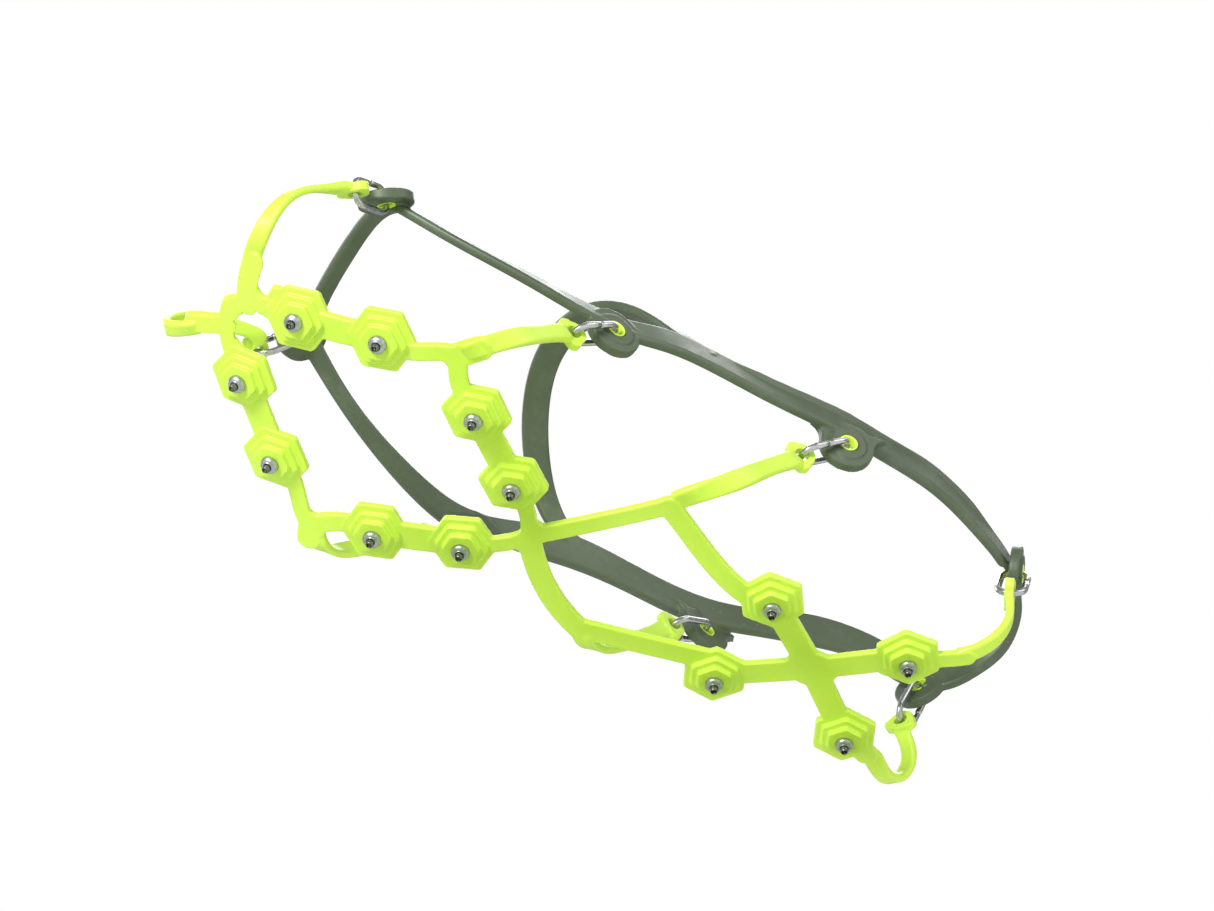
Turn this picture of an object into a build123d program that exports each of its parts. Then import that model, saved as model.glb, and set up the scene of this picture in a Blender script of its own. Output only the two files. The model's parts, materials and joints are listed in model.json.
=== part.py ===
"""Slip-on ice cleat (microspikes) as worn on a right shoe: a moulded sole web with twelve carbide
studs, hung on eight steel links from an elastic ankle and toe harness.

Millimetres. +X points to the toe, +Y to the wearer's left (the inner side of a right shoe) and +Z
up. The spike tips of the flat part stand on Z = 0 and the origin is under the middle of the part.
"""

from build123d import *

import os
from math import asin, atan, cos, sin, sqrt

os.makedirs("parts", exist_ok=True)

# ---------------------------------------------------------------- driving dimensions
sole_height = 9.5  # from the ground to the shoe's tread
spring_start = 10.8  # the sole is flat behind this X and curls up in front of it
spring_radius = 280.0
axis_offset = -8.0  # the web sits this far towards the outer side of the shoe at the heel
axis_start = -50.2  # in front of this X the web's centre line curves with the foot
axis_radius = 1220.0
shoe_curve_start = -2.2
shoe_curve = 1250.0  # sideways curve of the shoe's own centre line, in front of its start

web_inner = 0.4  # the web sinks this far in between the tread lugs
web_outer = 1.9  # and stands this far off them
strap_thickness = 2.7
cross_filler = 14.0  # disc that fills out the middle of the heel cross
hex_corner = 1.6

boss_steps = ((19.4, 1.9), (14.9, 3.6), (10.9, 5.4))  # across flats, height off the tread
stud_bore = 3.9
flange_d, flange_t = 5.8, 1.5
flange_dome = 0.8
inner_head_d, inner_head_t = 9.0, 1.2
pin_d, pin_length, pin_reach = 2.6, 6.0, 9.5  # the tip stands pin_reach off the tread
tip_bevel, tip_hollow = 0.4, 0.6

wire_d = 2.2
link_span = 17.6  # between the two eyes that a link joins, and the link's own centre distance
link_end_radius = 4.35
head_d, head_thickness, head_bore = 9.0, 2.9, 4.6
lobe_d, lobe_offset, lobe_back = 5.2, 3.0, 1.2  # two lobes either side of the eye
lug_d, lug_thickness = 18.0, 3.4
rim_outer, rim_height = 12.4, 0.7
eyelet_d, eyelet_bore = 6.2, 4.6
fit_gap = 0.04


# ---------------------------------------------------------------- where things are
def tread_z(x):
    """Height of the tread above the ground at a given X."""
    run = max(x - spring_start, 0.0)
    return sole_height + spring_radius - sqrt(spring_radius**2 - run**2)


def web_point(u, v):
    """Plan position of a web point u along the centre line and v to the left of it."""
    run = max(u - axis_start, 0.0)
    turn = atan(run / axis_radius)
    return (u - v * sin(turn), axis_offset + run**2 / (2 * axis_radius) + v * cos(turn))


def tread_plane(u, v, lean):
    """Plane on the tread, X to the toe, its normal down and turned outwards by lean degrees."""
    x, y = web_point(u, v)
    pitch = asin(max(x - spring_start, 0.0) / spring_radius)
    turn = atan(max(u - axis_start, 0.0) / axis_radius)
    along = Vector(cos(pitch) * cos(turn), cos(pitch) * sin(turn), sin(pitch))
    across = Vector(-sin(turn), cos(turn), 0)
    seat = Plane(origin=(x, y, tread_z(x)), x_dir=along, z_dir=across.cross(along))
    return seat.rotated((lean if v > 0 else -lean, 0, 0))


def other_side(point):
    """The same place on the outer side of the shoe."""
    x, y, z = point
    return (x, max(x - shoe_curve_start, 0.0) ** 2 / shoe_curve - y, z)


def flip(direction):
    return (direction[0], -direction[1], direction[2])


# Studs: u, v on the inner side, how far the hexagon is turned and how far the stud leans out,
# where the sole's edge curls up. The outer side mirrors them.
studs = {
    "toe_stud": (118.8, 15.6, -1.5, 5.0),
    "front_stud": (97.1, 30.4, -1.5, 6.0),
    "ball_stud": (60.8, 29.6, 3.0, 0.0),
    "arch_stud": (37.8, 15.1, 3.0, 0.0),
    "heel_front_stud": (-55.2, 18.4, 25.5, 0.0),
    "heel_rear_stud": (-104.2, 19.7, 25.5, 0.0),
}
sides = {"inner": 1, "outer": -1}

# Eyes of the web's arms, the way each link runs up from its eye, and the way out of the shoe.
eyes = {
    "toe": ((114.0, 42.0, 71.1), (-12.7, -6.0, 10.6), (0.6, 0.53, 0.6)),
    "ball": ((38.9, 48.7, 40.2), (-14.1, -0.5, 10.6), (0.05, 1.0, -0.12)),
    "waist": ((-46.7, 42.0, 41.3), (-14.3, 4.0, 9.6), (-0.05, 1.0, 0.0)),
    "heel": ((-129.6, 33.3, 33.3), (-5.2, -3.7, 16.4), (-0.88, 0.48, 0.05)),
}


def eye_frame(name, side):
    """Eye centre, lug centre, direction of the link and normal of both eyes."""
    eye, run, out = eyes[name]
    if side < 0:
        eye, run, out = other_side(eye), flip(run), flip(out)
    run = Vector(*run).normalized()
    out = Vector(*out)
    normal = (out - run * out.dot(run)).normalized()
    return Vector(*eye), Vector(*eye) + run * link_span, run, normal


# ---------------------------------------------------------------- shared shapes
def strap(stations):
    """Sections of a strap through stations of (point, way out, width, thickness)."""
    planes = []
    points = [Vector(*s[0]) for s in stations]
    for i, (point, out, width, thickness) in enumerate(stations):
        ahead = points[min(i + 1, len(points) - 1)] - points[max(i - 1, 0)]
        tangent = ahead.normalized()
        out = Vector(*out)
        out = (out - tangent * out.dot(tangent)).normalized()
        plane = Plane(origin=points[i], x_dir=out.cross(tangent), z_dir=tangent)
        planes.append((plane, width, thickness))
    return planes


def rounded(width, thickness):
    return RectangleRounded(width, thickness, min(width, thickness) * 0.36)


# ---------------------------------------------------------------- sole web
# Strips of the net in u, v and their width, for the inner and then the outer side.
ball_t = (76.8, 43.5)  # where the arms at the ball of the foot branch off
rear_knot, cross_knot = (22.8, 0.0), (-80.7, 0.0)
both = [
    ([(135.8, 0.0), (132.6, 6.2), (118.8, 15.6)], 4.9),
    ([(118.8, 15.6), (97.1, 30.4)], 8.5),
    ([(97.1, 30.4), (87.8, 34.2), (82.4, 39.6), ball_t], 5.3),
    ([ball_t, (71.4, 35.6), (60.8, 29.6)], 6.0),
    ([(60.8, 29.6), (37.8, 15.1)], 9.2),
    ([(37.8, 15.1), (28.8, 8.3), rear_knot], 5.3),
    ([(-55.2, 18.4), cross_knot], 8.4),
    ([(-104.2, 19.7), cross_knot], 8.4),
]
inner_strips = [
    ([(132.6, 5.5), (136.6, 11.6), (139.4, 18.6)], 6.4),
    ([ball_t, (73.2, 50.0)], 7.4),
    ([rear_knot, (11.8, 12.8), (3.3, 22.5), (-7.2, 34.8)], 6.0),
    ([(-7.2, 34.8), (-21.7, 27.2), (-34.6, 20.5), (-55.2, 15.0)], 6.8),
    ([(-104.2, 19.7), (-113.2, 24.1), (-120.2, 29.5)], 5.6),
]
outer_strips = [
    ([(132.6, 5.5), (139.8, 14.8)], 5.6),
    ([ball_t, (74.8, 47.4)], 7.4),
    ([rear_knot, (9.8, 13.4), (0.8, 19.6), (-9.2, 24.2)], 7.2),
    ([(-9.2, 24.2), (-28.7, 19.2), (-55.2, 12.6)], 7.4),
    ([(-104.2, 19.7), (-114.7, 23.5)], 7.4),
]

down = (0, 0, -1)
w, t = 6.2, strap_thickness
inner_arms = {
    "toe": [
        ((135.4, 18.4, 38.2), down, 5.8, t),
        ((137.7, 27.9, 39.8), (0.15, 0.15, -1), 5.8, t),
        ((138.4, 36.6, 41.8), (0.55, 0.5, -0.6), 5.6, t),
        ((136.4, 41.5, 48.7), (0.8, 0.6, 0.0), 5.4, t),
        ((131.6, 43.3, 56.5), (0.7, 0.6, 0.35), 5.2, t),
        ((123.8, 43.1, 63.9), (0.6, 0.55, 0.55), 5.2, t),
    ],
    "ball": [
        ((71.4, 43.6, 15.5), down, w + 0.4, t),
        ((66.4, 50.2, 15.1), (0, 0.5, -0.9), w, t),
        ((61.0, 53.4, 18.1), (0, 0.85, -0.5), w, t),
        ((53.8, 53.4, 24.7), (0, 1, -0.15), w, t),
        ((46.5, 51.4, 32.7), (0, 1, -0.1), w, t),
    ],
    "waist": [
        ((-9.6, 29.6, 9.5), down, w + 0.4, t),
        ((-15.6, 38.0, 9.7), (0, 0.3, -0.95), w + 0.4, t),
        ((-21.8, 42.6, 12.8), (0, 0.85, -0.5), w + 0.4, t),
        ((-30.6, 43.9, 22.2), (0, 1, -0.1), w + 0.2, t),
        ((-40.4, 43.3, 33.4), (0, 1, 0.0), w, t),
    ],
    "heel": [
        ((-118.0, 20.4, 9.6), down, w - 0.8, t),
        ((-124.2, 27.2, 11.1), (-0.4, 0.4, -0.9), w - 0.8, t),
        ((-127.8, 31.0, 16.3), (-0.85, 0.55, -0.3), w - 0.8, t),
        ((-129.6, 32.5, 23.1), (-0.88, 0.5, 0), w - 1.0, t),
    ],
}
outer_arms = {
    "toe": [
        ((140.0, -8.0, 40.2), down, 5.0, 1.7),
        ((144.4, -12.8, 41.8), (0.1, -0.1, -1), 5.4, t),
        ((147.1, -17.9, 46.9), (0.8, -0.5, -0.4), 5.6, t),
        ((143.1, -19.7, 54.8), (0.85, -0.5, 0.1), 5.4, t),
        ((135.0, -21.9, 63.3), (0.6, -0.6, 0.45), 5.2, t),
        ((125.0, -23.6, 68.1), (0.5, -0.6, 0.6), 5.2, t),
    ],
    "ball": [
        ((78.0, -46.5, 17.1), down, w, t),
        ((73.5, -50.8, 18.1), (0, -0.6, -0.8), w, t),
        ((67.2, -52.6, 22.1), (0, -0.95, -0.3), w, t),
        ((57.4, -50.8, 29.1), (0, -1, -0.1), w, t),
        ((47.8, -48.2, 34.9), (0, -1, -0.1), w, t),
    ],
    "waist": [
        ((-9.2, -32.4, 9.4), down, w, t),
        ((-15.6, -37.2, 10.3), (0, -0.4, -0.9), w, t),
        ((-22.0, -40.2, 15.7), (0, -0.9, -0.4), w, t),
        ((-30.8, -41.4, 24.5), (0, -1, -0.1), w, t),
        ((-39.8, -41.8, 33.5), (0, -1, 0.0), w, t),
    ],
    "heel": [
        ((-115.4, -31.8, 9.4), down, w, t),
        ((-124.2, -37.0, 9.5), (-0.1, -0.2, -1), w, t),
        ((-131.2, -39.2, 12.9), (-0.6, -0.6, -0.7), w - 0.4, t),
        ((-134.2, -37.6, 19.1), (-0.85, -0.55, -0.1), w - 0.8, t),
        ((-132.6, -35.0, 26.1), (-0.88, -0.5, 0.05), w - 1.0, t),
    ],
}

with BuildPart() as net:
    # the net in plan, cut to a slab that follows the tread
    with BuildSketch():
        for side in (1, -1):
            for points, width in both + (inner_strips if side > 0 else outer_strips):
                route = [web_point(u, side * v) for u, v in points]
                with BuildLine() as strip:
                    Spline(*route) if len(route) > 2 else Line(*route)
                trace(strip.line, line_width=width)
                with Locations(route[0], route[-1]):
                    Circle(width / 2)
        with Locations(web_point(*cross_knot)):
            Circle(cross_filler / 2)
    extrude(amount=100)
    with BuildSketch(Plane.XZ):
        with BuildLine():
            flat_in, flat_out = sole_height + web_inner, sole_height - web_outer
            r_in, r_out = spring_radius - web_inner, spring_radius + web_outer
            centre = (spring_start, sole_height + spring_radius)
            back = Line((-170, flat_out), (-170, flat_in))
            inner_face = Line(back @ 1, (spring_start, flat_in))
            inner_curl = CenterArc(centre, r_in, -90, 34)
            outer_face = Line(back @ 0, (spring_start, flat_out))
            outer_curl = CenterArc(centre, r_out, -90, 34)
            Line(inner_curl @ 1, outer_curl @ 1)
        make_face()
    extrude(amount=90, both=True, mode=Mode.INTERSECT)

with BuildPart() as bosses:
    # stepped hexagonal bosses
    for u, v, hex_turn, lean in studs.values():
        for side in (1, -1):
            seat = tread_plane(u, side * v, lean)
            for across_flats, height in boss_steps:
                with BuildSketch(seat.offset(-web_inner)):
                    turn = 30 - side * hex_turn
                    hexagon = RegularPolygon(
                        across_flats / 2, 6, major_radius=False, rotation=turn
                    )
                    fillet(hexagon.vertices(), hex_corner)
                extrude(amount=height + web_inner)

with BuildPart() as arms:
    # arms that wrap over the edge of the shoe and end in an eye
    for side, routes in ((1, inner_arms), (-1, outer_arms)):
        for name, stations in routes.items():
            eye, lug, run, normal = eye_frame(name, side)
            last = (tuple(eye - run * 2.0), tuple(normal), stations[-1][2], t)
            with BuildPart() as arm:
                for plane, width, thickness in strap(stations + [last]):
                    with BuildSketch(plane):
                        rounded(width, thickness)
                loft()
                face = Plane(origin=eye - normal * head_thickness / 2, x_dir=run, z_dir=normal)
                with BuildSketch(face):
                    Circle(head_d / 2)
                    with Locations((-lobe_back, lobe_offset), (-lobe_back, -lobe_offset)):
                        Circle(lobe_d / 2)
                extrude(amount=head_thickness)
            add(arm.part)

with BuildPart() as web_holes:
    for side in (1, -1):
        for name in eyes:
            eye, lug, run, normal = eye_frame(name, side)
            with Locations(Plane(origin=eye, x_dir=run, z_dir=normal)):
                Cylinder(head_bore / 2, 12)
        for u, v, hex_turn, lean in studs.values():
            seat = tread_plane(u, side * v, lean)
            with BuildSketch(seat.offset(-web_inner - 5)):
                Circle(inner_head_d / 2 + fit_gap)
            extrude(amount=5 + inner_head_t)
            with BuildSketch(seat.offset(-web_inner - 5)):
                Circle(stud_bore / 2 + fit_gap)
            extrude(amount=20)

with BuildPart() as sole_web:
    add(net.part)
    add(bosses.part)
    add(arms.part)
    add(web_holes.part, mode=Mode.SUBTRACT)
sole_web.part.label = "sole_web"
export_step(sole_web.part, "parts/sole_web.step")

# ---------------------------------------------------------------- studs and their carbide pins
for name, (u, v, hex_turn, lean) in studs.items():
    for side_name, side in sides.items():
        seat = tread_plane(u, side * v, lean)
        top = boss_steps[-1][1]
        low = -web_inner
        axial = Plane(origin=seat.origin, x_dir=seat.x_dir, z_dir=seat.y_dir * -1)
        shank, head, flange = stud_bore / 2, inner_head_d / 2, flange_d / 2
        pin_seat = pin_reach - pin_length
        with BuildPart() as stud:
            with BuildSketch(axial):
                with BuildLine():
                    Polyline(
                        (0, low), (head, low), (head, low + inner_head_t),
                        (shank, low + inner_head_t), (shank, top), (flange, top),
                        (flange, top + flange_t),
                    )
                    ThreePointArc(
                        (flange, top + flange_t),
                        (flange * 0.75, top + flange_t + flange_dome * 0.7),
                        (pin_d / 2, top + flange_t + flange_dome),
                    )
                    Polyline(
                        (pin_d / 2, top + flange_t + flange_dome), (pin_d / 2, pin_seat),
                        (0, pin_seat), (0, low),
                    )
                make_face()
            revolve(axis=Axis(seat.origin, seat.z_dir))
        stud.part.label = f"{name}_{side_name}"
        export_step(stud.part, f"parts/{name}_{side_name}.step")

        with BuildPart() as pin:
            with BuildSketch(axial):
                with BuildLine():
                    Polyline(
                        (0, pin_seat), (pin_d / 2, pin_seat), (pin_d / 2, pin_reach - tip_bevel),
                        (pin_d / 2 - tip_bevel, pin_reach), (tip_hollow, pin_reach),
                        (0, pin_reach - tip_hollow), (0, pin_seat),
                    )
                make_face()
            revolve(axis=Axis(seat.origin, seat.z_dir))
        pin.part.label = f"{name.replace('stud', 'pin')}_{side_name}"
        export_step(pin.part, f"parts/{pin.part.label}.step")

# ---------------------------------------------------------------- harness
# Stations of the inner side: place, way out of the shoe, width and thickness.
band_t = 3.2
heel_back = ((-147.6, 0.0, 50.9), (-1, 0, 0), 10.0, band_t)
side_band = [
    ((-145.0, 12.6, 50.7), (-0.9, 0.4, 0), 10.0, band_t),
    ((-138.8, 23.2, 50.7), (-0.8, 0.6, 0), 10.5, band_t),
    ((-131.2, 29.0, 53.9), (-0.55, 0.8, 0.05), 10.5, band_t),
    ((-122.6, 31.6, 59.1), (-0.35, 0.95, 0.1), 11.0, band_t),
    ((-112.2, 34.4, 63.5), (-0.2, 1, 0.1), 12.0, band_t),
    ((-97.2, 38.6, 65.3), (-0.15, 1, 0.1), 13.0, band_t),
    ((-78.2, 43.0, 62.7), (-0.1, 1, 0.05), 11.5, band_t),
    ((-60.2, 46.2, 60.7), (-0.05, 1, 0.05), 12.0, band_t),
    ((-32.2, 46.2, 61.1), (0, 1, 0.15), 11.5, band_t),
    ((-8.2, 46.8, 61.9), (0, 1, 0.25), 12.5, band_t),
    ((7.8, 47.8, 59.5), (0, 1, 0.2), 11.5, band_t),
    ((24.8, 48.6, 55.5), (0, 1, 0.3), 10.5, band_t),
]
toe_strand = [
    ((24.8, 48.6, 55.5), (0, 1, 0.3), 10.5, band_t),
    ((37.8, 48.2, 55.9), (0, 1, 0.35), 9.0, band_t),
    ((51.8, 46.6, 60.1), (0.05, 1, 0.45), 7.6, band_t),
    ((67.8, 43.6, 66.1), (0.1, 1, 0.55), 6.2, band_t),
    ((83.8, 39.6, 73.9), (0.2, 0.9, 0.65), 5.6, band_t),
    ((96.8, 35.6, 81.9), (0.3, 0.75, 0.75), 6.4, band_t),
]
toe_cross = [
    ((96.8, 35.6, 81.9), (0.3, 0.75, 0.75), 6.4, band_t),
    ((100.4, 26.0, 87.1), (0.35, 0.35, 0.95), 6.0, band_t),
    ((101.4, 9.0, 88.9), (0.35, 0.0, 1), 6.0, band_t),
]
vamp_cross = [
    ((-12.2, 46.2, 64.9), (0, 1, 0.3), 6.0, band_t),
    ((-2.2, 43.6, 70.1), (0, 1, 0.4), 7.5, band_t),
    ((6.8, 38.6, 80.1), (-0.1, 0.9, 0.6), 8.5, band_t),
    ((14.8, 29.0, 91.1), (-0.1, 0.7, 0.8), 9.0, band_t),
    ((20.8, 15.0, 98.7), (-0.1, 0.35, 1), 9.0, band_t),
    ((22.8, 0.0, 100.9), (-0.1, 0.0, 1), 9.0, band_t),
]


def mirror_station(station):
    point, out, width, thickness = station
    return (other_side(point), flip(out), width, thickness)


def mirrored(stations):
    return [mirror_station(s) for s in stations]


neck_rise, neck_flare = 6.5, 5.0  # the waist lugs hang on a flared neck

with BuildPart() as harness:
    runs = [
        mirrored(side_band)[::-1] + [heel_back] + side_band,
        toe_strand,
        mirrored(toe_strand),
        toe_cross + mirrored(toe_cross[:-1])[::-1],
        vamp_cross + mirrored(vamp_cross[:-1])[::-1],
    ]
    for stations in runs:
        with BuildPart() as run_part:
            for plane, width, thickness in strap(stations):
                with BuildSketch(plane):
                    rounded(width, thickness)
            loft()
        add(run_part.part)
    for side in (1, -1):
        for name in eyes:
            eye, lug, run, normal = eye_frame(name, side)
            face = Plane(origin=lug - normal * lug_thickness / 2, x_dir=run, z_dir=normal)
            with BuildSketch(face):
                Circle(lug_d / 2)
            extrude(amount=lug_thickness)
            if name == "waist":
                along = (Vector(1, 0, 0) - normal * normal.X).normalized()
                up = normal.cross(along)
                rise = neck_rise if up.Z > 0 else -neck_rise
                with BuildSketch(Plane(origin=face.origin, x_dir=along, z_dir=normal)):
                    with BuildLine():
                        half, wide = lug_d / 2, lug_d / 2 + neck_flare
                        back_flank = ThreePointArc(
                            (-half, 0), (-half - neck_flare * 0.2, rise * 0.65), (-wide, rise)
                        )
                        Line(back_flank @ 1, (wide, rise))
                        front_flank = ThreePointArc(
                            (wide, rise), (half + neck_flare * 0.2, rise * 0.65), (half, 0)
                        )
                        Line(front_flank @ 1, back_flank @ 0)
                    make_face()
                extrude(amount=lug_thickness)
            with BuildSketch(face):
                Circle(rim_outer / 2)
            extrude(amount=lug_thickness + rim_height)
            with Locations(Plane(origin=lug, x_dir=run, z_dir=normal)):
                Cylinder(eyelet_d / 2 + fit_gap, 14, mode=Mode.SUBTRACT)
harness.part.label = "harness"
export_step(harness.part, "parts/harness.step")

# ---------------------------------------------------------------- eyelet liners and links
for name in eyes:
    for side_name, side in sides.items():
        eye, lug, run, normal = eye_frame(name, side)
        thickness = lug_thickness + rim_height
        with BuildPart() as eyelet:
            with BuildSketch(Plane(origin=lug - normal * lug_thickness / 2, x_dir=run, z_dir=normal)):
                Circle(eyelet_d / 2)
                Circle(eyelet_bore / 2, mode=Mode.SUBTRACT)
            extrude(amount=thickness)
            fillet(eyelet.edges().filter_by(GeomType.CIRCLE), 0.3)
        eyelet.part.label = f"{name}_eyelet_{side_name}"
        export_step(eyelet.part, f"parts/{name}_eyelet_{side_name}.step")

        middle = (eye + lug) / 2
        straight = link_span / 2 - link_end_radius
        with BuildPart() as link:
            with BuildLine(Plane(origin=middle, x_dir=run, z_dir=run.cross(normal))) as loop:
                side_a = Line((-straight, link_end_radius), (straight, link_end_radius))
                end_a = CenterArc((straight, 0), link_end_radius, 90, -180)
                side_b = Line(end_a @ 1, (-straight, -link_end_radius))
                CenterArc((-straight, 0), link_end_radius, -90, -180)
            with BuildSketch(Plane(origin=side_a @ 0, z_dir=run)):
                Circle(wire_d / 2)
            sweep(path=loop.line)
        link.part.label = f"{name}_link_{side_name}"
        export_step(link.part, f"parts/{name}_link_{side_name}.step")
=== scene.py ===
"""Looks of the slip-on ice cleats: moulded yellow-green sole web and its studs, steel links and the
olive elastic harness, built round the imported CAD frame. Everything is in metres.
"""

import json
import math

import bmesh
import bpy
import numpy as np
from mathutils import Matrix, Vector
from mathutils.bvhtree import BVHTree

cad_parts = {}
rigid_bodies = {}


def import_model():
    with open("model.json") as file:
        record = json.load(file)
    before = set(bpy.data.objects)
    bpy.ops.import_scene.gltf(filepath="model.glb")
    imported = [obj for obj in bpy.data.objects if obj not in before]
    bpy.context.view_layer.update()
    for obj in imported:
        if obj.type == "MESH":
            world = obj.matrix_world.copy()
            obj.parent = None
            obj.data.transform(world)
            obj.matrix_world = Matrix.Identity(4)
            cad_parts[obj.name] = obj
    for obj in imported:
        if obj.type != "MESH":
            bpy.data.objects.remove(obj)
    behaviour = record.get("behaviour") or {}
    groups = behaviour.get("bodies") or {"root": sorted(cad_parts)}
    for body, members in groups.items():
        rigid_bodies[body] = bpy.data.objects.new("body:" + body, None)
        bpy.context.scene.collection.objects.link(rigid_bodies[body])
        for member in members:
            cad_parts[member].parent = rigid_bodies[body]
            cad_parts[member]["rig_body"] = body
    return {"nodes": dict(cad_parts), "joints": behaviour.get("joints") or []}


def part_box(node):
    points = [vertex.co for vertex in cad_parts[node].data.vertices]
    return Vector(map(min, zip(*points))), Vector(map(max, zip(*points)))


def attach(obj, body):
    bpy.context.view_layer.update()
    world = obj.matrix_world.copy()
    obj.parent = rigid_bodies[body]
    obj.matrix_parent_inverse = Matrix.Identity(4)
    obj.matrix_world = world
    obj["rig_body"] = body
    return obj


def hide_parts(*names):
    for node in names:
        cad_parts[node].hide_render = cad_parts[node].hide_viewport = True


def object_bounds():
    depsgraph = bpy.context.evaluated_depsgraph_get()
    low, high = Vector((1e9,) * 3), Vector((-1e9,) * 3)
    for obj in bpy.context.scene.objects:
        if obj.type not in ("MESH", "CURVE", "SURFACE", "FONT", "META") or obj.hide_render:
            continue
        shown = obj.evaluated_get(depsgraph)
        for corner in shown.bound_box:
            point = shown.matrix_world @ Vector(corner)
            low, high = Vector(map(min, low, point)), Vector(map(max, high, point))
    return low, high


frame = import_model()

cad_low, cad_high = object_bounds()
nodes = frame["nodes"]
MM = 0.001
DOWN = np.array((0, 0, -1.0))

# Driving sizes of the part, in millimetres
TREAD = 9.5  # height of the shoe's tread over the ground
SPRING_START, SPRING_RADIUS = 10.8, 280.0
WEB_INNER, WEB_OUTER = 0.4, 1.9
WIRE_RADIUS = 1.1
TOE_HUB = 131.0, 5.7  # plan position of the web's front corner
LINK_END, LINK_HALF = 4.35, 8.8  # radius of a link's ends, half its centre-line length


# ---------------------------------------------------------------- materials
def linear(r, g, b):
    """Scene colour of an 8-bit display colour."""
    values = [v / 255 for v in (r, g, b)]
    return tuple(v / 12.92 if v < 0.04045 else ((v + 0.055) / 1.055) ** 2.4 for v in values) + (1,)


class Material:
    """A Principled material with a few helpers for procedural detail."""

    def __init__(self, name, **sockets):
        self.data = bpy.data.materials.new(name)
        self.data.use_nodes = True
        self.nodes, self.links = self.data.node_tree.nodes, self.data.node_tree.links
        self.shader = self.nodes["Principled BSDF"]
        for socket, value in sockets.items():
            self.shader.inputs[socket.replace("_", " ")].default_value = value
        self.where = self.nodes.new("ShaderNodeTexCoord").outputs["Object"]

    def noise(self, scale, detail=4.0, roughness=0.5, stretch=None):
        where = self.where
        if stretch:
            mapping = self.nodes.new("ShaderNodeMapping")
            mapping.inputs["Scale"].default_value = stretch
            self.links.new(where, mapping.inputs["Vector"])
            where = mapping.outputs["Vector"]
        node = self.nodes.new("ShaderNodeTexNoise")
        node.inputs["Scale"].default_value = scale
        node.inputs["Detail"].default_value = detail
        node.inputs["Roughness"].default_value = roughness
        self.links.new(where, node.inputs["Vector"])
        return node.outputs["Fac"]

    def ramp(self, value, stops):
        node = self.nodes.new("ShaderNodeValToRGB")
        elements = node.color_ramp.elements
        while len(elements) < len(stops):
            elements.new(0.5)
        for element, (position, colour) in zip(elements, stops):
            element.position, element.color = position, colour
        self.links.new(value, node.inputs["Fac"])
        return node.outputs["Color"]

    def spread(self, value, low, high, start=0.3, end=0.7):
        node = self.nodes.new("ShaderNodeMapRange")
        node.inputs["From Min"].default_value, node.inputs["From Max"].default_value = start, end
        node.inputs["To Min"].default_value, node.inputs["To Max"].default_value = low, high
        self.links.new(value, node.inputs["Value"])
        return node.outputs["Result"]

    def blend(self, first, second, share):
        """share of second mixed over first; both are colour outputs."""
        node = self.nodes.new("ShaderNodeMix")
        node.data_type = "RGBA"
        self.links.new(first, node.inputs[6])
        self.links.new(second, node.inputs[7])
        self.links.new(share, node.inputs[0])
        return node.outputs[2]

    def feed(self, socket, value):
        self.links.new(value, self.shader.inputs[socket])

    def bump(self, *layers):
        """layers of (height output, distance in metres), one over the other."""
        normal = None
        for height, distance in layers:
            node = self.nodes.new("ShaderNodeBump")
            node.inputs["Distance"].default_value = distance
            self.links.new(height, node.inputs["Height"])
            if normal:
                self.links.new(normal, node.inputs["Normal"])
            normal = node.outputs["Normal"]
        self.feed("Normal", normal)

    def painted_edge_highlight(self, low=0.5, high=0.56):
        """Mask for a painted highlight: 0 on flat surfaces, 1 on convex edges."""
        node = self.nodes.new("ShaderNodeNewGeometry")
        return self.spread(node.outputs["Pointiness"], 0.0, 1.0, low, high)


def web_material():
    m = Material("web_tpu", Roughness=0.38, Specular_IOR_Level=0.45, Subsurface_Weight=0.06,
                 Subsurface_Scale=0.0025)
    m.shader.inputs["Subsurface Radius"].default_value = (1.0, 1.0, 0.25)
    m.shader.inputs["Coat Weight"].default_value = 0.12
    m.shader.inputs["Coat Roughness"].default_value = 0.25
    patches = m.ramp(m.noise(38, 3), [(0.3, linear(199, 234, 70)), (0.7, linear(206, 239, 82))])
    # pale: a paler yellow-green painted on convex edges as a painted highlight
    edge_highlight_colour = m.ramp(m.noise(9, 2), [(0.0, linear(213, 244, 102)), (1.0, linear(220, 248, 114))])
    m.feed("Base Color", m.blend(patches, edge_highlight_colour, m.painted_edge_highlight(0.53, 0.7)))
    m.feed("Roughness", m.spread(m.noise(160, 5), 0.32, 0.46))
    m.bump((m.noise(55, 2), 0.00025), (m.noise(2200, 3, 0.6), 0.000005))
    return m.data


def harness_material():
    m = Material("harness_elastomer", Roughness=0.42, Specular_IOR_Level=0.5)
    m.shader.inputs["Coat Weight"].default_value = 0.08
    m.shader.inputs["Coat Roughness"].default_value = 0.3
    base = m.ramp(m.noise(30, 4), [(0.3, linear(70, 82, 60)), (0.7, linear(80, 93, 70))])
    dust = m.ramp(m.noise(240, 5, 0.7), [(0.35, linear(82, 94, 74)), (0.75, linear(118, 130, 108))])
    speckle = m.spread(m.noise(60, 5, 0.7), 0.0, 0.35, 0.48, 0.75)
    # edge: a lighter olive painted on convex edges as a painted sheen; the dust speckle under it is real
    edge = m.ramp(m.noise(20), [(0.0, linear(104, 118, 94)), (1.0, linear(116, 130, 104))])
    dust_and_edge_sheen = m.blend(m.blend(base, dust, speckle), edge, m.painted_edge_highlight(0.54, 0.7))
    m.feed("Base Color", dust_and_edge_sheen)
    m.feed("Roughness", m.spread(m.noise(120, 5), 0.34, 0.52))
    m.bump((m.noise(45, 2), 0.0002), (m.noise(1500, 4, 0.65), 0.000006))
    return m.data


def eyelet_material():
    m = Material("eyelet_tpu", Roughness=0.34)
    m.feed("Base Color", m.ramp(m.noise(400, 3), [(0.3, linear(204, 240, 60)), (0.7, linear(222, 250, 96))]))
    m.bump((m.noise(1500, 3), 0.00003))
    return m.data


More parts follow.
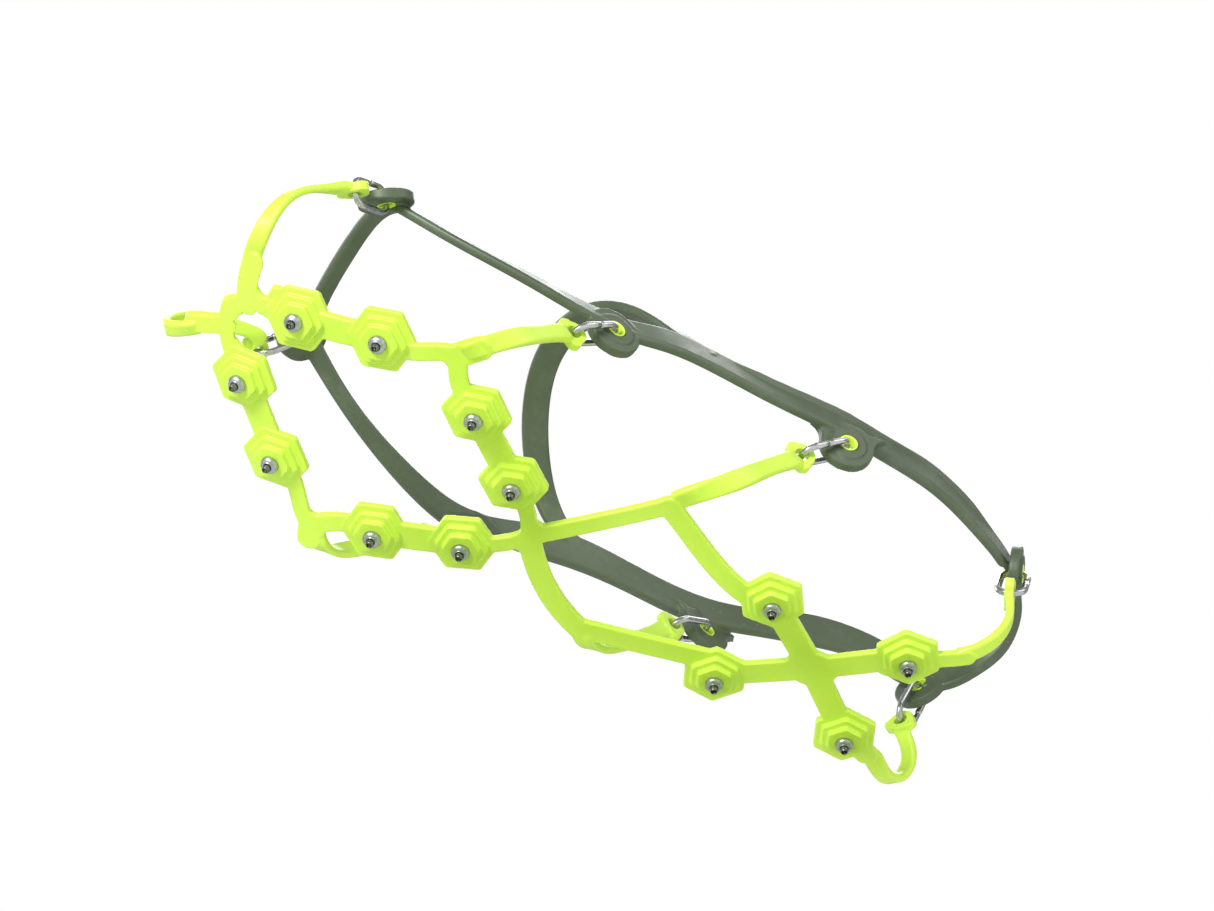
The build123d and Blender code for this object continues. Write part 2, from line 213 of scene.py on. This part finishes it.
def turned_metal(name, dark, light, roughness, ring_scale, ring_depth):
    """Metal with fine rings about the piece's own Z axis, a mottled tone, and a painted highlight on its
    convex edges.
    """
    m = Material(name, Metallic=1.0, Roughness=roughness)
    wave = m.nodes.new("ShaderNodeTexWave")
    wave.wave_type, wave.rings_direction = "RINGS", "Z"
    wave.inputs["Scale"].default_value = ring_scale
    wave.inputs["Distortion"].default_value = 1.2
    wave.inputs["Detail"].default_value = 2.0
    wave.inputs["Detail Scale"].default_value = 2.0
    m.links.new(m.where, wave.inputs["Vector"])
    tint = m.ramp(m.noise(900, 4, 0.6), [(0.3, dark), (0.7, light)])
    # bright: a near-white painted highlight on the convex edges
    bright = m.ramp(m.noise(300), [(0.0, light), (1.0, linear(225, 226, 228))])
    m.feed("Base Color", m.blend(tint, bright, m.painted_edge_highlight(0.5, 0.62)))
    m.feed("Roughness", m.spread(m.noise(1200, 4), roughness - 0.07, roughness + 0.1))
    m.bump((wave.outputs["Fac"], ring_depth), (m.noise(3000, 3), 0.000006))
    return m.data


def link_material():
    m = Material("link_steel", Metallic=1.0, Roughness=0.2)
    greys = [(0.3, linear(176, 176, 178)), (0.7, linear(208, 208, 208))]
    m.feed("Base Color", m.ramp(m.noise(500, 4), greys))
    scratches = m.noise(900, 4, 0.6, stretch=(1, 1, 0.2))
    m.feed("Roughness", m.spread(scratches, 0.14, 0.3))
    m.bump((scratches, 0.000012))
    return m.data


MATERIALS = {
    "web_tpu": web_material(),
    "harness_elastomer": harness_material(),
    "eyelet_tpu": eyelet_material(),
    "stud_aluminium": turned_metal("stud_aluminium", linear(158, 161, 166), linear(190, 193, 198), 0.34,
                                   900, 0.00001),
    "pin_carbide": turned_metal("pin_carbide", linear(84, 84, 84), linear(120, 119, 117), 0.36,
                                1200, 0.000008),
    "link_steel": link_material(),
}


# ---------------------------------------------------------------- helpers
def new_object(name, data):
    obj = bpy.data.objects.new(name, data)
    bpy.context.scene.collection.objects.link(obj)
    return obj


def mesh_of(name, vertices, faces):
    mesh = bpy.data.meshes.new(name)
    mesh.from_pydata([tuple(v) for v in vertices], [], faces)
    mesh.validate()
    return mesh


def closed_mesh(name, vertices, faces):
    """A mesh whose faces all look outwards."""
    mesh = mesh_of(name, vertices, faces)
    made = bmesh.new()
    made.from_mesh(mesh)
    bmesh.ops.recalc_face_normals(made, faces=made.faces)
    made.to_mesh(mesh)
    made.free()
    return mesh


def tube_faces(count, segments):
    """Faces of a tube of count rings, with both ends capped."""
    faces = []
    for i in range(count - 1):
        low, high = i * segments, (i + 1) * segments
        for k in range(segments):
            n = (k + 1) % segments
            faces.append((low + k, low + n, high + n, high + k))
    faces.append(list(range(segments))[::-1])
    faces.append([(count - 1) * segments + k for k in range(segments)])
    return faces


def finish_piece(obj, body, slot, *replaced):
    """Shades a new piece, puts it on its body and lets it stand for its CAD nodes."""
    obj.data.materials.clear()
    obj.data.materials.append(MATERIALS[slot])
    obj.data.polygons.foreach_set("use_smooth", [True] * len(obj.data.polygons))
    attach(obj, body)
    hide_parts(*replaced)
    return obj


def points_of(obj):
    flat = np.zeros(len(obj.data.vertices) * 3)
    obj.data.vertices.foreach_get("co", flat)
    return flat.reshape(-1, 3)


def principal_axes(points):
    """Unit axes of a cloud of points, the longest spread last."""
    centred = points - points.mean(0)
    return np.linalg.eigh(centred.T @ centred)[1].T


def body_of(node):
    return nodes[node]["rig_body"]


def remeshed(name, sources, voxel, smoothing):
    """One clean skin round several closed meshes, with edges and inner corners softened."""
    joined = bmesh.new()
    for mesh in sources:
        joined.from_mesh(mesh)
    bmesh.ops.remove_doubles(joined, verts=joined.verts, dist=1e-7)
    mesh = bpy.data.meshes.new(name + "_raw")
    joined.to_mesh(mesh)
    joined.free()
    raw = new_object(name + "_raw", mesh)
    remesh = raw.modifiers.new("skin", "REMESH")
    remesh.mode, remesh.voxel_size = "VOXEL", voxel
    smooth = raw.modifiers.new("soften", "SMOOTH")
    smooth.factor, smooth.iterations = 0.5, smoothing
    skin = bpy.data.meshes.new_from_object(raw.evaluated_get(bpy.context.evaluated_depsgraph_get()))
    bpy.data.objects.remove(raw)
    return new_object(name, skin)


FAIRING_STEPS = 0.5, -0.52  # towards the neighbours, then a little further back


def faired(obj, share, rounds):
    """Evens out kinks with little shrinking; share is 0 to 1 for each vertex."""
    mesh = obj.data
    edges = np.zeros(len(mesh.edges) * 2, np.int64)
    mesh.edges.foreach_get("vertices", edges)
    a, b = edges[0::2], edges[1::2]
    points, count = points_of(obj), len(mesh.vertices)
    degree = np.maximum(np.bincount(edges, minlength=count), 1)[:, None]
    for _ in range(rounds):
        for step in FAIRING_STEPS:
            around = np.stack([
                np.bincount(a, points[b, i], count) + np.bincount(b, points[a, i], count) for i in range(3)
            ], 1)
            points += step * share[:, None] * (around / degree - points)
    mesh.vertices.foreach_set("co", points.ravel())
    mesh.update()


def away_from(points, centres, start, end):
    """0 within start mm of the nearest centre, 1 beyond end mm, for each point."""
    nearest = np.full(len(points), np.inf)
    for centre in centres:
        nearest = np.minimum(nearest, np.linalg.norm(points - np.array(centre), axis=1))
    return np.clip((nearest - start * MM) / ((end - start) * MM), 0, 1)


def link_ends(side):
    """Centres of the web's eyes (side -1) or of the harness's (side 1)."""
    return [Vector(j["pos_m"]) + Vector(j["axis"]).normalized() * side * LINK_HALF * MM
            for j in frame["joints"] if j["type"] == "hinge"]


# ---------------------------------------------------------------- turned pieces
ON_AXIS = 1e-6  # a radius under this is a point on the axis
END_RING = 0.1  # depth in mm of the points taken as the tip or the root of a turned CAD piece
PIN_TIP, EYELET_TOP = 9.5, 4.1  # highest point of the profiles below, in mm


def rounded_profile(corners, steps=4):
    """(radius, height) outline with each corner that has a fillet turned into a curve."""
    outline = []
    for i, (r, h, fillet) in enumerate(corners):
        here = np.array((r, h))
        if not fillet or i in (0, len(corners) - 1):
            outline.append(here)
            continue
        before = np.array(corners[i - 1][:2]) - here
        after = np.array(corners[i + 1][:2]) - here
        reach = min(fillet, np.linalg.norm(before) * 0.49, np.linalg.norm(after) * 0.49)
        start = here + before / np.linalg.norm(before) * reach
        end = here + after / np.linalg.norm(after) * reach
        for k in range(steps + 1):
            s = k / steps
            outline.append(start * (1 - s) ** 2 + here * 2 * s * (1 - s) + end * s**2)
    return outline


def lathe(name, outline, segments=72):
    """Turns an outline in millimetres about Z into a closed mesh; ends on the axis become poles."""
    vertices, rings, faces = [], [], []
    for r, h in outline:
        if r < ON_AXIS:
            rings.append([len(vertices)])
            vertices.append((0, 0, h * MM))
            continue
        rings.append(list(range(len(vertices), len(vertices) + segments)))
        for k in range(segments):
            a = 2 * math.pi * k / segments
            vertices.append((r * MM * math.cos(a), r * MM * math.sin(a), h * MM))
    bored = outline[0][0] > ON_AXIS  # the outline goes round, so its last ring meets its first
    for low, high in zip(rings, rings[1:] + (rings[:1] if bored else [])):
        for k in range(segments):
            n = (k + 1) % segments
            corner = [low[k % len(low)], low[n % len(low)], high[n % len(high)], high[k % len(high)]]
            face = list(dict.fromkeys(corner))
            if len(face) > 2:
                faces.append(face)
    return closed_mesh(name, vertices, faces)


def ring_centre(ring):
    return (ring.min(0) + ring.max(0)) / 2


def turned_frame(node, outwards, tip_height):
    """Frame of a turned CAD piece: its axis is Z and points outwards, its tip at tip_height mm."""
    points = points_of(nodes[node])
    axes = principal_axes(points)
    spread = [np.ptp(points @ axis) for axis in axes]
    # the axis is the one whose length is unlike the two others
    unlike = [abs(spread[i] - spread[(i + 1) % 3]) + abs(spread[i] - spread[i - 1]) for i in range(3)]
    axis = axes[int(np.argmax(unlike))]
    if axis @ outwards < 0:
        axis = -axis
    height = points @ axis
    tip = ring_centre(points[height > height.max() - END_RING * MM])
    root = ring_centre(points[height < height.min() + END_RING * MM])
    axis = Vector(tip - root).normalized()
    top = Vector(tip) + axis * (max(points @ np.array(axis)) - Vector(tip).dot(axis))
    place = axis.to_track_quat("Z", "Y").to_matrix().to_4x4()
    place.translation = top - axis * tip_height * MM
    return place


STUD = rounded_profile([
    (0, -0.4, 0), (4.5, -0.4, 0.25), (4.5, 0.8, 0.2), (1.95, 0.8, 0), (1.95, 5.35, 0),
    (2.75, 5.35, 0), (2.9, 5.5, 0.15), (2.9, 6.55, 0.45), (2.35, 7.15, 0.5), (1.75, 7.45, 0.2),
    (1.62, 7.65, 0.1), (1.42, 7.65, 0.08), (1.36, 7.2, 0), (1.31, 6.9, 0), (1.31, 3.6, 0), (0, 3.6, 0),
])
PIN = rounded_profile([
    (0, 3.62, 0), (1.27, 3.62, 0), (1.27, 8.95, 0.3), (1.0, 9.46, 0.14), (0.8, 9.48, 0.14),
    (0.62, 9.0, 0.1), (0.4, 8.75, 0.2), (0, 8.7, 0),
])
EYELET = rounded_profile([
    (3.08, 0.15, 0), (3.08, 3.9, 0.1), (3.05, 4.08, 0.3), (2.6, 4.1, 0.3), (2.32, 3.7, 0.3),
    (2.3, 2.0, 0), (2.32, 0.4, 0.3), (2.6, 0.02, 0.3), (3.05, 0.02, 0.3),
])


def turned_piece(node, mesh, slot, place):
    piece = new_object(node + "_look", mesh.copy())
    piece.matrix_world = place
    finish_piece(piece, body_of(node), slot, node)


def turned_pieces():
    stud_mesh, pin_mesh = lathe("stud", STUD), lathe("pin", PIN, 48)
    for pin in sorted(n for n in nodes if "_pin_" in n):
        place = turned_frame(pin, DOWN, PIN_TIP)
        turned_piece(pin, pin_mesh, "pin_carbide", place)
        turned_piece(pin.replace("_pin_", "_stud_"), stud_mesh, "stud_aluminium", place)
    eyelet_mesh = lathe("eyelet", EYELET)
    for eyelet in sorted(n for n in nodes if "_eyelet_" in n):
        centre = points_of(nodes[eyelet]).mean(0)
        outwards = centre - np.array((0, 0, centre[2]))
        turned_piece(eyelet, eyelet_mesh, "eyelet_tpu", turned_frame(eyelet, outwards, EYELET_TOP))


# ---------------------------------------------------------------- steel links
ARC_STEPS = 12  # along each round end of a link
BUTT_GAP, BUTT_ROUND = 0.16, 0.14  # opening between the wire's ends, length of their rounding
BUTT_NECK = 0.86  # how much of the wire's radius is left at its very ends


def wire_loop(name, segments=20):
    """A stadium of round wire in the XZ plane, X along the link, butted in the middle of one side."""
    straight = LINK_HALF - LINK_END
    path = []
    for side in (1, -1):
        for k in range(ARC_STEPS + 1):
            a = side * math.pi / 2 - math.pi * k / ARC_STEPS
            path.append((side * straight + LINK_END * math.cos(a), LINK_END * math.sin(a)))
    # the loop opens at the butt, half way along the upper side
    reach = BUTT_GAP / 2 + BUTT_ROUND
    path = [(BUTT_GAP / 2, LINK_END), (reach, LINK_END), (straight * 0.5, LINK_END)] + path + [
        (-straight * 0.5, LINK_END), (-reach, LINK_END), (-BUTT_GAP / 2, LINK_END)]
    vertices = []
    count = len(path)
    for i, (x, z) in enumerate(path):
        ahead = Vector(path[min(i + 1, count - 1)]) - Vector(path[max(i - 1, 0)])
        ahead.normalize()
        side = Vector((-ahead.y, ahead.x))
        radius = WIRE_RADIUS * (BUTT_NECK if i in (0, count - 1) else 1.0)
        for k in range(segments):
            a = 2 * math.pi * k / segments
            across, up = radius * math.cos(a), radius * math.sin(a)
            vertices.append(((x + side.x * across) * MM, up * MM, (z + side.y * across) * MM))
    return closed_mesh(name, vertices, tube_faces(count, segments))


def links():
    mesh = wire_loop("link")
    turns = {j["child"]: j for j in frame["joints"] if j["type"] == "hinge"}
    for node in sorted(n for n in nodes if "_link_" in n):
        joint = turns[body_of(node)]
        along = Vector(joint["axis"]).normalized()
        across = Vector(principal_axes(points_of(nodes[node]))[0])  # normal of the loop's plane
        across = (across - along * across.dot(along)).normalized()
        up = along.cross(across)
        middle = Vector(joint["pos_m"])
        inside = Vector((middle.x, 0, middle.z - 4 * MM))  # in the shoe's middle plane, a little lower
        if up.dot(middle - inside) < 0:  # the butt faces outwards
            across, up = -across, -up
        place = Matrix((along, across, up)).transposed().to_4x4()
        place.translation = middle
        piece = new_object(node + "_look", mesh.copy())
        piece.matrix_world = place
        finish_piece(piece, body_of(node), "link_steel", node)


# ---------------------------------------------------------------- sole web
def tread_height(x):
    """Height of the tread in metres at X, flat behind the toe spring and round in front."""
    run = np.maximum(x - SPRING_START * MM, 0)
    radius = SPRING_RADIUS * MM
    return TREAD * MM + radius - np.sqrt(radius**2 - run**2)


def grown(mask, radius):
    """mask grown by a disc of radius cells."""
    out = np.zeros_like(mask)
    reach = int(math.ceil(radius))
    for i in range(-reach, reach + 1):
        for j in range(-reach, reach + 1):
            if i * i + j * j <= radius * radius:
                out |= np.roll(mask, (i, j), (0, 1))
    return out


def closed(mask, radius):
    return ~grown(~grown(mask, radius), radius)


def along_pair(grid_x, grid_y, start, end):
    """Distance of each grid point from the line between two studs."""
    run = np.array((end.x - start.x, end.y - start.y))
    share = np.clip(((grid_x - start.x) * run[0] + (grid_y - start.y) * run[1]) / (run @ run), 0, 1)
    return np.hypot(grid_x - start.x - share * run[0], grid_y - start.y - share * run[1])


# Fillets in plan, in millimetres
GUSSET_CELL = 0.3
GUSSET_WIDE, GUSSET_NARROW = 4.2, 2.5  # closing radius near boss pairs and the toe hub, and elsewhere
PAIR_REACH, HUB_REACH = 8, 11  # how far the wide radius holds from a boss pair and from the toe hub
NET_DEPTH = 0.45  # a point this far over the web's outer face still belongs to the flat net
STUD_DISC = 6  # radius that counts as net round each stud
GUSSET_INSET = 0.04  # keeps the fillets just inside both faces of the web
GUSSET_MARGIN = 8  # of the plan grid round the web
BODY_GROWTH, CRUMB_SHRINK, CRUMB_GROWTH = 1.5, 1.5, 3  # in cells


def web_gussets(web, studs):
    """Fills the inner corners of the flat net with round fillets, as one prism per plan cell."""
    cell, margin, inset = GUSSET_CELL * MM, GUSSET_MARGIN * MM, GUSSET_INSET * MM
    tree = BVHTree.FromObject(web, bpy.context.evaluated_depsgraph_get())
    low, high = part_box("sole_web")
    xs = np.arange(low.x - margin, high.x + margin, cell)
    ys = np.arange(low.y - margin, high.y + margin, cell)
    up, below = Vector((0, 0, 1)), -20 * MM
    outer = tread_height(xs) - WEB_OUTER * MM
    mask = np.zeros((len(xs), len(ys)), bool)
    solid = np.zeros_like(mask)
    for i, x in enumerate(xs):
        for j, y in enumerate(ys):
            hit = tree.ray_cast(Vector((x, y, below)), up)[0]
            solid[i, j] = hit is not None
            mask[i, j] = solid[i, j] and hit.z < outer[i] + NET_DEPTH * MM
    grid_x, grid_y = np.meshgrid(xs, ys, indexing="ij")
    near = np.zeros_like(mask)
    for place in studs.values():
        mask |= np.hypot(grid_x - place.x, grid_y - place.y) < STUD_DISC * MM
    for first, second in (("toe", "front"), ("ball", "arch")):
        for side in ("inner", "outer"):
            ends = [studs[f"{stud}_pin_{side}"] for stud in (first, second)]
            near |= along_pair(grid_x, grid_y, *ends) < PAIR_REACH * MM
    near |= np.hypot(grid_x - TOE_HUB[0] * MM, grid_y - TOE_HUB[1] * MM) < HUB_REACH * MM
    filled = closed(mask, GUSSET_NARROW * MM / cell) | (closed(mask, GUSSET_WIDE * MM / cell) & near)
    added = filled & ~mask & ~solid
    added &= grown(~grown(~added, CRUMB_SHRINK), CRUMB_GROWTH)  # drops the crumbs along slanting edges
    body = grown(added, BODY_GROWTH) & filled
    vertices, faces, index = [], [], {}

    def corner(i, j, level):
        key = (i, j, level)
        if key not in index:
            x = xs[0] + (i - 0.5) * cell
            rise = float(tread_height(np.array(x)))
            drop = -WEB_OUTER * MM + inset if level else WEB_INNER * MM - inset
            index[key] = len(vertices)
            vertices.append((x, ys[0] + (j - 0.5) * cell, rise + drop))
        return index[key]

    for i, j in zip(*np.nonzero(body)):
        square = ((i, j), (i + 1, j), (i + 1, j + 1), (i, j + 1))
        faces.append([corner(a, b, 0) for a, b in square])
        faces.append([corner(a, b, 1) for a, b in reversed(square)])
        for k, (di, dj) in enumerate(((0, -1), (1, 0), (0, 1), (-1, 0))):
            if not body[i + di, j + dj]:
                (a, b), (c, d) = square[k], square[(k + 1) % 4]
                faces.append([corner(a, b, 0), corner(a, b, 1), corner(c, d, 1), corner(c, d, 0)])
    return mesh_of("gussets", vertices, faces)


# Skins, in millimetres: voxel size, and where fairing starts and is whole round bosses and eyes
WEB_VOXEL, HARNESS_VOXEL = 0.3, 0.34
BOSS_KEPT, WEB_EYE_KEPT, HARNESS_EYE_KEPT = (12, 14.5), (6, 9), (9.6, 12)


def sole_web():
    studs = {n: turned_frame(n, DOWN, 0.0).translation for n in nodes if "_pin_" in n}
    source = nodes["sole_web"]
    gussets = web_gussets(source, studs)
    web = remeshed("sole_web_look", [source.data, gussets], WEB_VOXEL * MM, 4)
    points = points_of(web)
    share = away_from(points, studs.values(), *BOSS_KEPT) * away_from(points, link_ends(-1), *WEB_EYE_KEPT)
    faired(web, share, 30)
    finish_piece(web, body_of("sole_web"), "web_tpu", "sole_web")


# ---------------------------------------------------------------- harness
BEAD_END, BEAD_GROWTH = 0.35, 0.22  # size of a bead's first ring, and how much each next ring gains


def bead(path, tall, thick, segments=16):
    """A closed flat bead through a path of points, tapered at both ends."""
    vertices, count = [], len(path)
    for i, point in enumerate(path):
        ahead = (path[min(i + 1, count - 1)] - path[max(i - 1, 0)]).normalized()
        side = ahead.cross(Vector((0, 0, 1))).normalized()
        up = side.cross(ahead)
        size = min(1.0, BEAD_END + BEAD_GROWTH * min(i, count - 1 - i))
        for k in range(segments):
            a = 2 * math.pi * k / segments
            vertices.append(point + side * (size * thick * math.cos(a)) + up * (size * tall * math.sin(a)))
    return closed_mesh("bead", vertices, tube_faces(count, segments))


# Welts on the side bands, in millimetres
BAND_SEARCH = 104, 40, -0.25  # heights looked through for a band, from above
BAND_HALF_GAP = 18  # a hit nearer the middle plane than this belongs to the far side
WELT_FROM, WELT_TO, WELT_STEP = -124, -16, 3  # along X
WELT_DROP = 1.7  # its middle lies this far under the band's upper edge
WELT_TALL, WELT_THICK = 1.5, 0.8
WELT_SUNK = 0.1  # its middle lies this far inside the band's face
WELT_JUMP = 7  # a step longer than this is another band
SIDE_REACH = 0.1  # metres from the middle plane to where the rays start


def seen_from_side(tree, side, x, z):
    """Where a level ray from one side meets the harness, or None."""
    return tree.ray_cast(Vector((x, side * SIDE_REACH, z)), Vector((0, -side, 0)), SIDE_REACH)[0]


def band_top(tree, side, x):
    """Highest point at X of the uppermost band, or None where no band ends above the search."""
    top = None
    first, last, step = BAND_SEARCH
    for z in np.arange(first * MM, last * MM, step * MM):
        hit = seen_from_side(tree, side, x, z)
        solid = hit is not None and hit.y * side > BAND_HALF_GAP * MM
        if solid and top is None:
            top = hit.copy()
        if not solid and top is not None:
            return top
    return None


def harness_beads(source):
    """Raised welts along the upper edges of the side bands."""
    tree = BVHTree.FromObject(source, bpy.context.evaluated_depsgraph_get())
    beads = []
    for side in (1, -1):
        edge = []
        for x in np.arange(WELT_FROM * MM, WELT_TO * MM, WELT_STEP * MM):
            top = band_top(tree, side, x)
            if top is None:
                continue
            hit = seen_from_side(tree, side, x, top.z - WELT_DROP * MM)
            if hit is not None and (not edge or (hit - edge[-1]).length < WELT_JUMP * MM):
                edge.append(hit - Vector((0, side * WELT_SUNK * MM, 0)))
        if len(edge) > 4:
            beads.append(bead(edge, WELT_TALL * MM, WELT_THICK * MM))
    return beads


def harness():
    source = nodes["harness"]
    plain = remeshed("harness_plain", [source.data], HARNESS_VOXEL * MM, 2)
    faired(plain, away_from(points_of(plain), link_ends(1), *HARNESS_EYE_KEPT), 40)
    skin = remeshed("harness_look", [plain.data] + harness_beads(plain), HARNESS_VOXEL * MM, 2)
    bpy.data.objects.remove(plain)
    finish_piece(skin, body_of("harness"), "harness_elastomer", "harness")


turned_pieces()
links()
sole_web()
harness()


# ---------------------------------------------------------------- stage, lights and camera
def stage():
    size, drop = 6.0, 0.4 * MM
    corners = [(-size, -size, 0), (size, -size, 0), (size, size, 0), (-size, size, 0)]
    floor = new_object("floor", mesh_of("floor", corners, [(0, 1, 2, 3)]))
    floor.location.z = cad_low.z - drop
    m = Material("floor", Roughness=0.75)
    m.feed("Base Color", m.ramp(m.noise(3), [(0.3, (0.84, 0.84, 0.85, 1)), (0.7, (0.88, 0.88, 0.88, 1))]))
    clear = m.nodes.new("ShaderNodeBsdfTransparent")
    facing = m.nodes.new("ShaderNodeNewGeometry").outputs["Backfacing"]
    mix = m.nodes.new("ShaderNodeMixShader")
    m.links.new(facing, mix.inputs[0])
    m.links.new(m.shader.outputs[0], mix.inputs[1])
    m.links.new(clear.outputs[0], mix.inputs[2])
    m.links.new(mix.outputs[0], m.nodes["Material Output"].inputs["Surface"])
    floor.data.materials.append(m.data)
    floor.visible_shadow = False


def world():
    made = bpy.data.worlds.new("studio")
    bpy.context.scene.world = made
    made.use_nodes = True
    tree = made.node_tree
    background = tree.nodes["Background"]
    background.inputs["Color"].default_value = (0.95, 0.96, 0.97, 1)
    background.inputs["Strength"].default_value = 0.4
    bright = tree.nodes.new("ShaderNodeBackground")
    bright.inputs["Color"].default_value = (1.0, 1.0, 1.0, 1)
    bright.inputs["Strength"].default_value = 1.0
    path = tree.nodes.new("ShaderNodeLightPath")
    mix = tree.nodes.new("ShaderNodeMixShader")
    tree.links.new(path.outputs["Is Camera Ray"], mix.inputs[0])
    tree.links.new(background.outputs[0], mix.inputs[1])
    tree.links.new(bright.outputs[0], mix.inputs[2])
    tree.links.new(mix.outputs[0], tree.nodes["World Output"].inputs["Surface"])


LIT = Vector((0, 0, 0.03))  # the point that the area lights look at


def area_light(name, place, size, power):
    light = bpy.data.lights.new(name, "AREA")
    light.shape, light.size, light.energy = "DISK", size, power
    obj = new_object(name, light)
    obj.location = place
    obj.rotation_mode = "QUATERNION"
    obj.rotation_quaternion = (LIT - Vector(place)).to_track_quat("-Z", "Y")


# The camera fitted to the photo
CAMERA_PLACE = Vector((0.3298, 0.7076, -0.8915))
CAMERA_RIGHT = Vector((-0.8777, 0.4764, 0.0513))
CAMERA_UP = Vector((0.3974, 0.6638, 0.6336))


def camera():
    data = bpy.data.cameras.new("camera")
    data.sensor_width, data.lens = 36.0, 113.16
    data.clip_start, data.clip_end = 0.01, 50.0
    obj = new_object("camera", data)
    back = CAMERA_RIGHT.cross(CAMERA_UP).normalized()
    right = CAMERA_RIGHT.normalized()
    turn = Matrix((right, back.cross(right), back)).transposed()
    obj.matrix_world = Matrix.Translation(CAMERA_PLACE) @ turn.to_4x4()
    bpy.context.scene.camera = obj


def by_camera(right, up, away):
    """A place given in metres along the camera's own axes, from the part's origin."""
    return CAMERA_RIGHT * right + CAMERA_UP * up + CAMERA_RIGHT.cross(CAMERA_UP) * away


def lights():
    area_light("key", by_camera(-0.8, 1.1, 1.2), 0.6, 28)
    area_light("fill", by_camera(0.9, -0.2, 0.7), 1.0, 2.5)
    area_light("side", (-0.4, 1.0, 0.5), 0.9, 3)
    area_light("window", (0.6, -0.9, 1.0), 1.0, 5)
    sky = bpy.data.lights.new("sky", "SUN")
    sky.energy, sky.angle = 1.7, 0.7
    new_object("sky", sky).rotation_euler = (0.25, -0.2, 0)


stage()
world()
camera()
lights()
bpy.context.scene.view_settings.view_transform = "Standard"
